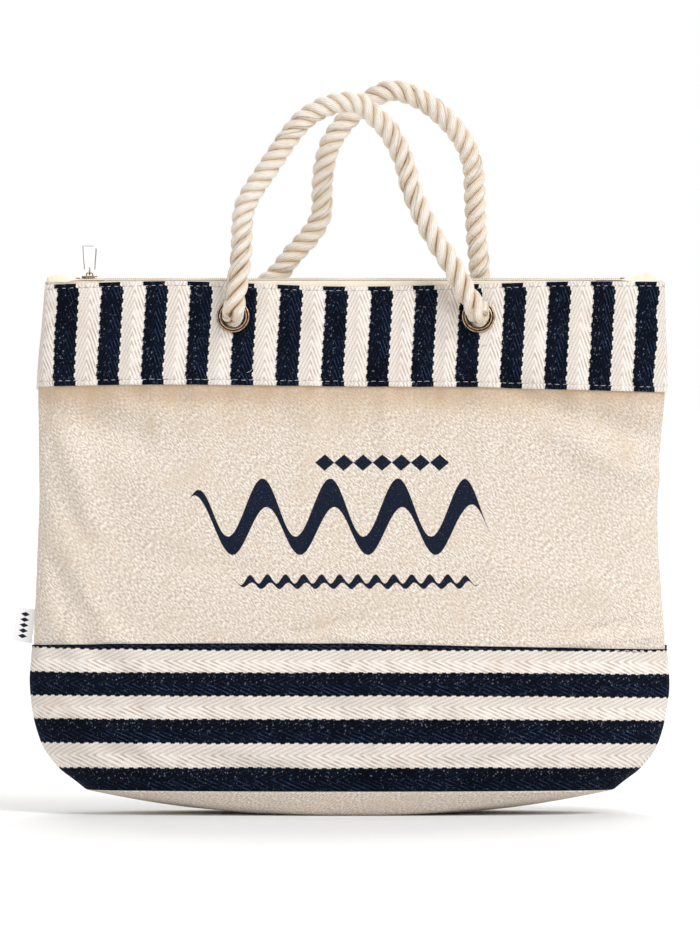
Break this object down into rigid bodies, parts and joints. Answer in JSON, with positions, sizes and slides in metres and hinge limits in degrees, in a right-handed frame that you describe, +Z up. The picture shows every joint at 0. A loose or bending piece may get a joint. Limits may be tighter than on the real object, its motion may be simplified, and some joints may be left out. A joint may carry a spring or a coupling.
{
  "type": "tote bag",
  "caption": "Striped canvas tote bag with twisted rope handles through metal eyelets and a zip mouth.",
  "frame": {"origin": "centre of the flat foot of the base", "axes": "+Z up towards the rope handles, -Y towards the front, +X to the viewer's right when facing the front"},
  "size_m": [0.462, 0.115, 0.5153],
  "materials": {
    "plain_canvas": "matte",
    "herringbone_cotton": "matte",
    "cotton_rope": "matte",
    "label_tape": "matte",
    "zip_tape": "matte",
    "zip_coil": "satin",
    "antique_nickel": "satin",
    "bright_metal": "gloss"
  },
  "bodies": {
    "root": {"front_panel": "plain_canvas", "back_panel": "plain_canvas", "front_top_band": "herringbone_cotton", "back_top_band": "herringbone_cotton", "front_bottom_band": "herringbone_cotton", "back_bottom_band": "herringbone_cotton", "base_panel": "plain_canvas", "side_label": "label_tape", "eyelet_front_left": "antique_nickel", "washer_front_left": "antique_nickel", "rope_knot_front_left": "cotton_rope", "eyelet_front_right": "antique_nickel", "washer_front_right": "antique_nickel", "rope_knot_front_right": "cotton_rope", "eyelet_back_left": "antique_nickel", "washer_back_left": "antique_nickel", "rope_knot_back_left": "cotton_rope", "eyelet_back_right": "antique_nickel", "washer_back_right": "antique_nickel", "rope_knot_back_right": "cotton_rope", "zip_hem_front": "zip_tape", "zip_hem_back": "zip_tape", "zip_end_left": "zip_tape", "zip_end_right": "zip_tape", "zip_top_stop_front": "antique_nickel", "zip_top_stop_back": "antique_nickel", "zip_bottom_stop": "antique_nickel"},
    "handle_front": {"front_rope_handle": "cotton_rope"},
    "handle_back": {"back_rope_handle": "cotton_rope"},
    "zip_flap_front": {"zip_tape_front": "zip_tape", "zip_coil_front": "zip_coil"},
    "zip_flap_back": {"zip_tape_back": "zip_tape", "zip_coil_back": "zip_coil"},
    "slider": {"zip_slider": "antique_nickel"},
    "link": {"zip_pull_link": "antique_nickel"},
    "pull": {"zip_pull": "bright_metal"}
  },
  "joints": [
    {"name": "handle_front_swing", "type": "hinge", "parent": "root", "child": "handle_front", "pos_m": [0, -0.03191, 0.35142], "axis": [1, 0, 0], "range_deg": [-4, 165]},
    {"name": "handle_back_swing", "type": "hinge", "parent": "root", "child": "handle_back", "pos_m": [0, 0.03191, 0.35142], "axis": [-1, 0, 0], "range_deg": [-4, 165]},
    {"name": "zip_mouth_front", "type": "hinge", "parent": "root", "child": "zip_flap_front", "pos_m": [0, -0.012, 0.3752], "axis": [1, 0, 0], "range_deg": [0, 75]},
    {"name": "zip_mouth_back", "type": "hinge", "parent": "root", "child": "zip_flap_back", "pos_m": [0, 0.012, 0.3752], "axis": [-1, 0, 0], "range_deg": [0, 75]},
    {"name": "zip_slide", "type": "slide", "parent": "root", "child": "slider", "axis": [1, 0, 0], "range_m": [0, 0.366]},
    {"name": "zip_link_flip", "type": "hinge", "parent": "slider", "child": "link", "pos_m": [-0.183, 0, 0.37845], "axis": [0, 1, 0], "range_deg": [-45, 45]},
    {"name": "zip_pull_swing", "type": "hinge", "parent": "link", "child": "pull", "pos_m": [-0.183, 0, 0.38205], "axis": [1, 0, 0], "range_deg": [-70, 70]}
  ],
  "couplings": [
    {"joint": "zip_mouth_back", "follows": "zip_mouth_front", "ratio": 1}
  ]
}
